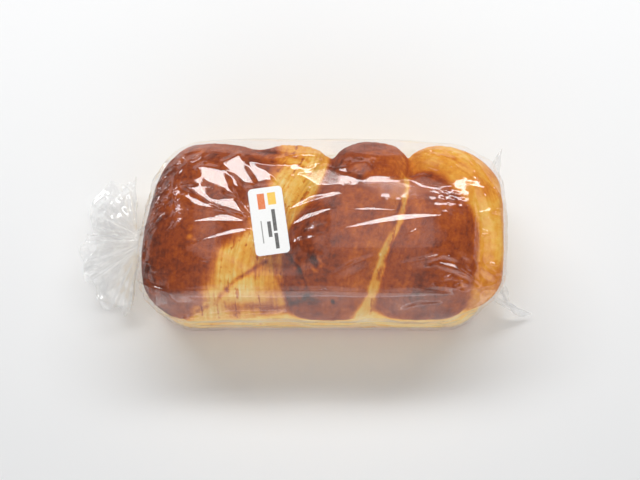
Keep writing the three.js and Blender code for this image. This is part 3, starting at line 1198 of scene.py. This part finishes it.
def foldRise(p, top):
    # height to add to the film on top of the loaf, so that one face of each fold slopes to the back
    x, y, z = p[..., 0], p[..., 1], p[..., 2]
    highest = fold["highest"]
    total = np.zeros(x.shape)
    for x1, y1, x2, y2, widest, back, front in folds:
        length = math.hypot(x2 - x1, y2 - y1)
        ux, uy = (x2 - x1) / length, (y2 - y1) / length
        s = ((x - x1) * ux + (y - y1) * uy) / length
        t = (y - y1) * ux - (x - x1) * uy
        close = upperSide(p) & (s > 0) & (s < 1) & (t > -front) & (t < back)
        if close.sum() < 8:
            continue
        s, t = s[close], t[close]
        width = back * np.minimum(s / widest, (1 - s) / (1 - widest)) ** 0.8
        lineX, lineY = x1 + s * length * ux, y1 + s * length * uy
        line = top.read(lineX, lineY)
        hinge = top.read(lineX - uy * width, lineY + ux * width)
        along = (top.read(lineX + 3 * ux, lineY + 3 * uy) - top.read(lineX - 3 * ux, lineY - 3 * uy)) / 6
        slope = np.clip((fold["slope"] + along * uy) / ux, *fold["slopes"])
        # the face rises from its back edge, or where the film is steeper, leaves it at its front edge
        level = np.maximum(hinge + slope * width, line)
        face = np.clip(level - slope * t - z[close], 0, highest)
        before = np.clip(level - line, 0, highest) * np.clip(1 + t / front, 0, 1)
        eased = np.clip(1 - (t - width) / fold["behind"], 0, 1)
        behind = np.clip(line - slope * width - hinge, 0, highest) * eased
        total[close] = np.maximum(total[close], np.where(t < 0, before, np.where(t < width, face, behind)))
    return total


def patchRise(p):
    # height that brings the film to each patch's plane: less than 0 where the plane lies under it
    x, y, z = p[..., 0], p[..., 1], p[..., 2]
    total = np.zeros(x.shape)
    for corners in patches:
        off = np.full(x.shape, -1e9)
        for (x1, y1), (x2, y2) in zip(corners, corners[1:] + corners[:1]):
            aside = ((x - x1) * (y2 - y1) - (y - y1) * (x2 - x1)) / math.hypot(x2 - x1, y2 - y1)
            off = np.maximum(off, aside)
        inside = upperSide(p) & (off < 0)
        close = upperSide(p) & (off < patch["edge"])
        if inside.sum() < 12:
            continue
        places = np.stack([x[inside], y[inside], np.ones(inside.sum())], axis=1)
        fit = np.linalg.lstsq(places, z[inside], rcond=None)[0]
        slopeX = np.clip(fit[0], -patch["along"], patch["along"])
        slopeY = -np.clip(-fit[1], *patch["falls"])
        level = np.percentile(z[inside] - slopeX * x[inside] - slopeY * y[inside], patch["share"])
        rise = level + slopeX * x[close] + slopeY * y[close] - z[close]
        eased = np.clip(1 - off[close] / patch["edge"], 0, 1)
        rise = np.clip(rise, patch["lowest"], patch["highest"]) * eased
        total[close] = np.where(np.abs(rise) > np.abs(total[close]), rise, total[close])
    return total


def flakeRise(p, top):
    # height of the small flakes that catch the light, each a tilted face with eased edges
    draw = np.random.default_rng(83)
    x, y = p[..., 0], p[..., 1]
    total = np.zeros(x.shape)
    for middleX, middleY, spreadX, spreadY, count, length, width, turn, spread in flakes:
        for _ in range(count):
            cx = middleX + spreadX * draw.uniform(-1, 1)
            cy = middleY + spreadY * draw.uniform(-1, 1)
            halfLength = length * draw.uniform(0.5, 1.3) / 2
            halfWidth = width * draw.uniform(0.6, 1.4) / 2
            way = turn + spread * draw.uniform(-1, 1)
            s, t = turned(x - cx, y - cy, way)
            s, t = s / halfLength, t / halfWidth
            inside = upperSide(p) & (np.abs(s) < 1) & (np.abs(t) < 1)
            if inside.sum() < 4:
                continue
            nearX, nearY = cx + np.array([2.0, -2.0, 0.0, 0.0]), cy + np.array([0.0, 0.0, 2.0, -2.0])
            right, left, behind, before = top.read(nearX, nearY)
            slopeX, slopeY = (right - left) / 4, (behind - before) / 4
            leanX = np.clip(slopeX, -flake["along"], flake["along"]) - slopeX
            leanY = -flake["slope"] - slopeY
            leanAlong, leanAside = turned(leanX, leanY, way)
            level = abs(leanAlong) * halfLength * 0.7 + abs(leanAside) * halfWidth
            shape = 1 - np.abs(s[inside]) ** 1.5 - np.abs(t[inside])
            rise = level + leanX * (x[inside] - cx) + leanY * (y[inside] - cy)
            rise = np.clip(rise * np.clip(shape / flake["edge"], 0, 1), 0, flake["highest"])
            total[inside] = np.maximum(total[inside], rise)
    return total


def raiseFolds(p):
    top = TopHeight(p)
    u, v = labelPlace(p)
    offU = np.maximum(np.abs(u) - label["width"] / 2, 0)
    offV = np.maximum(np.abs(v) - label["length"] / 2, 0)
    rise = patchRise(p)
    rise = np.where(rise == 0, np.maximum(foldRise(p, top), flakeRise(p, top)), rise)
    p[..., 2] += rise * smoothStep(np.hypot(offU, offV), 0.4, 4)
    return p


# small crinkles: where (x, y, z, reach), how high and how wide
crinkles = [
    {"at": (-124, -30, 70), "reach": 24, "height": 0.7, "size": 8},
    {"at": (92, 16, 104), "reach": 15, "height": 0.5, "size": 5},
    {"at": (14, 32, 107), "reach": 16, "height": 0.3, "size": 5},
    {"at": (-19, 40, 106), "reach": 8, "height": 0.3, "size": 4},
    {"at": (118, -40, 70), "reach": 28, "height": 0.4, "size": 8},
    {"at": (126, 10, 70), "reach": 26, "height": 0.4, "size": 9},
    {"at": (112, 54, 78), "reach": 26, "height": 0.7, "size": 8},
    {"at": (152, -48, 10), "reach": 30, "height": 1.3, "size": 8},
    {"at": (138, 58, 42), "reach": 26, "height": 1.2, "size": 8},
    {"at": (-132, 0, 34), "reach": 26, "height": 1.2, "size": 8},
    {"at": (80, -60, 68), "reach": 30, "height": 0.5, "size": 9},
]


def crinkleRise(p):
    amount = 0.1 + 0.24 * smoothStep(valueNoise(p, 30, 91), -0.2, 0.5)
    onEnds = smoothStep(np.abs(p[..., 0]), 100, 122)
    rise = amount * (1 + crinkle(p * (1, 1.6, 1), 26, 61, 3))
    rise = rise + onEnds * (0.6 * (1 + crinkle(p, 15, 71, 3)) + 0.4 * (1 + crinkle(p, 7, 77, 3)))
    behind = smoothStep(p[..., 1], 42, 54)
    rise = rise + 0.45 * behind * (1 + crinkle(p * (0.3, 1, 1), 7, 66, 3))
    rise = rise * smoothStep(p[..., 2], 60, 80)
    for number, spot in enumerate(crinkles):
        away = np.linalg.norm(p - spot["at"], axis=-1) / spot["reach"]
        near = away < 1.3
        amount = np.zeros(away.shape)
        fade = 1 - smoothStep(away[near], 0.45, 1.2)
        amount[near] = fade * (0.8 + crinkle(p[near], spot["size"], 70 + 10 * number))
        rise = rise + spot["height"] * amount
    return rise


def foldedFilm():
    sheet = crumpleFilm()
    _, slope = distance.read(sheet)
    sheet = sheet + slope * crinkleRise(sheet)[..., None]
    sheet = raiseFolds(sheet)
    exact = loafField(sheet.reshape(-1, 3)).reshape(sheet.shape[:2])
    _, slope = distance.read(sheet)
    sheet = sheet + slope * np.maximum(film["leastClear"] - exact, 0)[..., None]
    sheet[..., 2] = np.maximum(sheet[..., 2], film["offTable"])
    return holdLabel(sheet)


sheet = foldedFilm()
print("folds raised")

mouth = {
    "rings": 36,
    "spread": 80.0,  # degrees each side of -X that the fan opens
    "reach": [(-80, 48), (-50, 52), (-20, 44), (0, 40), (25, 42), (55, 53), (80, 53)],  # degrees, mm
    "rim": 17.0,
    "lift": 13.0,
    "pleats": 27,
    "pleatDepth": 3.0,
    "puff": 5.0,  # how much the gathers swell beside the neck
    "crumple": 2.2,
    "ragged": 1.6,
}


def mouthRings(neckRing):
    # the open mouth of the bag, pleated, spread like a fan beyond the neck
    around = neckRing.shape[0]
    phi = roundAngles(around)
    centre = neckRing.mean(0)
    psi = np.cos(phi) * mouth["spread"] + 5 * np.sin(3 * phi + 1)
    reach = np.interp(psi, *zip(*mouth["reach"]))
    reach = reach * (1 + 0.07 * np.sin(7 * phi + 2) + 0.05 * np.sin(13 * phi))
    a = np.radians(psi)
    height = mouth["rim"] + mouth["lift"] * np.sin(phi) + 3 * np.sin(5 * phi + 0.7) * np.abs(np.sin(phi))
    rim = np.stack([centre[0] - reach * np.cos(a), centre[1] + reach * np.sin(a), height], axis=-1)
    wave = mouth["pleats"] * phi / (2 * math.pi) + 0.5 * np.sin(4 * phi) + 0.3 * np.sin(9 * phi + 1)
    pleat = 1 - 4 * np.abs(wave - np.floor(wave + 0.5))
    deep = mouth["pleatDepth"] * (0.7 + 0.5 * np.sin(6 * phi + 0.4))
    rings = []
    for s in np.linspace(0, 1, mouth["rings"])[1:]:
        ring = neckRing * (1 - s) + rim * s
        swelling = pleat * deep + mouth["puff"] * (1 - s) * np.sin(phi)
        ring[:, 2] += swelling * min(1, 2.2 * s) * (0.55 + 0.45 * s)
        ring[:, 1] += np.roll(pleat, 2) * deep * 0.5 * s
        rings.append(ring)
    rings = np.array(rings[::-1])
    fade = np.linspace(1, 0.1, len(rings))[:, None]
    rings[..., 2] += mouth["crumple"] * (crinkle(rings, 13, 51) + 0.5 * crinkle(rings, 7, 52)) * fade
    rings[..., 0] += valueNoise(rings, 9, 53) * mouth["ragged"] * fade
    rings[..., 2] = np.maximum(rings[..., 2], 0.4 + 0.3 * (1 + valueNoise(rings, 5, 54)))
    return rings


def gatheredShare(p):
    # 1 where many layers lie together, at the mouth and the weld, and less along the creased front
    atMouth, atWeld = smoothStep(-p[..., 0], 130, 140), smoothStep(p[..., 0], 127, 140)
    alongFront = 0.36 * smoothStep(-p[..., 1], 45, 54) * (0.7 + 0.6 * valueNoise(p, 14, 55))
    return np.maximum(np.maximum(atMouth, atWeld), alongFront)


skin = np.concatenate([mouthRings(sheet[0]), sheet])
bag = gridMesh("film", skin, attributes={"gathered": gatheredShare(skin)})

# the shine seen square on, and what it gains towards the edges; the haze of one layer, and of many
filmGloss = {
    "shine": 0.08,
    "edgeShine": 0.8,
    "edge": 5.0,
    "roughness": 0.13,
    "haze": 0.005,
    "gathered": 0.28,
}


def filmFinish():
    f = newMaterial("clear_film")
    clear = f.value("BsdfTransparent", None, "BSDF", Color=(0.99, 0.99, 0.99, 1))
    gloss = f.value("BsdfGlossy", None, "BSDF", Color=(1, 1, 1, 1), Roughness=filmGloss["roughness"])
    milky = f.value("BsdfPrincipled", None, "BSDF", Base_Color=(0.9, 0.9, 0.9, 1), Roughness=0.3)
    facing = f.value("LayerWeight", None, "Facing", Blend=0.5)
    shine = facing ** filmGloss["edge"] * filmGloss["edgeShine"] + filmGloss["shine"]
    haze = f.attribute("gathered") * filmGloss["gathered"] + filmGloss["haze"]
    return f.finish(f.mixShader(shine, f.mixShader(haze, clear, milky), gloss))


bag.data.materials.append(filmFinish())
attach(bag, "root")
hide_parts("bag")
print("film finished")

# plain fields on the label, in mm from its middle: left, right, bottom, top, colour
labelFields = [
    (-6.2, -1.0, 9.0, 20.5, srgb(228, 110, 0)),
    (1.2, 7.0, 11.5, 20.5, srgb(246, 196, 40)),
    (2.6, 5.2, -8.0, 8.0, srgb(64, 62, 60)),
    (2.6, 5.2, -21.0, -9.6, srgb(64, 62, 60)),
    (-1.4, 1.2, -12.0, -0.5, srgb(74, 72, 70)),
    (-6.0, -5.2, -16.0, 0.5, srgb(150, 148, 146)),
]


def labelFinish():
    f = newMaterial("label_paper")
    place = f.value("TexCoord", output="Object")
    parts = f.node("SeparateXYZ", Vector=place)
    x, y = f.out(parts, "X") / mm, f.out(parts, "Y") / mm
    u, v = turned(x - label["x"], y - label["y"], label["turn"])
    fibres = f.noise(place, 900.0, 4.0, 0.6)
    colour = f.mixColour((fibres + 0.5).clamped(), srgb(238, 238, 236), srgb(250, 250, 249))
    ink = 0.92 + fibres * 0.3
    for left, right, bottom, top, shade in labelFields:
        inside = (u - left).least(right - u).least((v - bottom).least(top - v))
        colour = f.mixColour(inside.ramp(-0.06, 0.06) * ink.clamped(), colour, shade)
    bump = f.value("Bump", None, "Normal", Strength=0.15, Distance=0.0002, Height=fibres)
    paper = f.value("BsdfPrincipled", None, "BSDF", Base_Color=colour, Roughness=0.45, Normal=bump)
    return f.finish(paper)


paper = labelFinish()
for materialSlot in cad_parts["label"].material_slots:
    materialSlot.material = paper
print("label finished")

view = {"elevation": 77.0, "distance": 1.0, "target": (0.0, -0.0053, 0.07), "lens": 76.5}


def placeCamera():
    data = bpy.data.cameras.new("camera")
    data.lens = view["lens"]
    data.sensor_width = 36
    data.clip_start = 0.02
    camera = bpy.data.objects.new("camera", data)
    e = math.radians(view["elevation"])
    target = Vector(view["target"])
    camera.location = target + Vector((0, -math.cos(e), math.sin(e))) * view["distance"]
    camera.rotation_euler = (target - camera.location).to_track_quat("-Z", "Y").to_euler()
    bpy.context.scene.collection.objects.link(camera)
    bpy.context.scene.camera = camera


# boxes of soft light: the way to them in degrees round and up, metres away, width and height, brightness
lights = {
    "back_box": {"way": (90, 55), "away": 1.3, "size": (2.0, 0.26), "bright": 10.0},
}


def softLight(name, light):
    turn, up = (math.radians(v) for v in light["way"])
    data = bpy.data.lights.new(name, "AREA")
    data.shape = "RECTANGLE"
    data.size, data.size_y = light["size"]
    data.energy = light["bright"] * math.pi * data.size * data.size_y
    lamp = bpy.data.objects.new(name, data)
    middle = Vector((0, 0, 0.08))
    way = Vector((math.cos(up) * math.cos(turn), math.cos(up) * math.sin(turn), math.sin(up)))
    lamp.location = middle + way * light["away"]
    lamp.rotation_euler = (-way).to_track_quat("-Z", "Y").to_euler()
    bpy.context.scene.collection.objects.link(lamp)


def layTable():
    mesh = bpy.data.meshes.new("table")
    s = 8.0  # half its width, in metres
    mesh.from_pydata([(-s, -s, 0), (s, -s, 0), (s, s, 0), (-s, s, 0)], [], [(0, 1, 2, 3)])
    table = bpy.data.objects.new("table", mesh)
    bpy.context.scene.collection.objects.link(table)
    f = newMaterial("table_top")
    place = f.value("TexCoord", output="Object")
    cloudy = f.noise(place, 2.0, 2.0) + 0.5
    colour = f.mixColour(cloudy, (0.86, 0.865, 0.87), (0.89, 0.895, 0.9))
    top = f.value("BsdfPrincipled", None, "BSDF", Base_Color=colour, Roughness=0.6)
    mesh.materials.append(f.finish(top))


# brightness against height: pale round the horizon and overhead, dark between, for the film to mirror
skyStops = [(0.02, 1.3), (0.25, 0.2), (0.32, 0.15), (0.86, 0.15), (0.95, 0.72), (1.0, 0.92)]
# towards the front it is brighter
frontGlow = {"from": -0.35, "to": -0.95, "bright": 1.2}


def makeWorld():
    world = bpy.data.worlds.new("studio")
    bpy.context.scene.world = world
    f = Finish(world)
    parts = f.node("SeparateXYZ", Vector=f.value("TexCoord", output="Generated"))
    stops = [(height, (grey, grey * 1.01, grey * 1.02)) for height, grey in skyStops]
    sky = f.value("ValToRGB", {"stops": stops}, "Color", Fac=f.out(parts, "Z"))
    glow = f.value(
        "MapRange", {"interpolation_type": "SMOOTHSTEP"}, "Result",
        Value=f.out(parts, "Y"), From_Min=frontGlow["from"], From_Max=frontGlow["to"],
        To_Min=0.0, To_Max=frontGlow["bright"],
    )
    both = f.mixColour(1.0, sky, glow, "ADD")
    f.finish(f.value("Background", None, "Background", Color=both, Strength=1.0), "OutputWorld")


placeCamera()
layTable()
for name, light in lights.items():
    softLight(name, light)
makeWorld()
bpy.context.scene.view_settings.view_transform = "Standard"
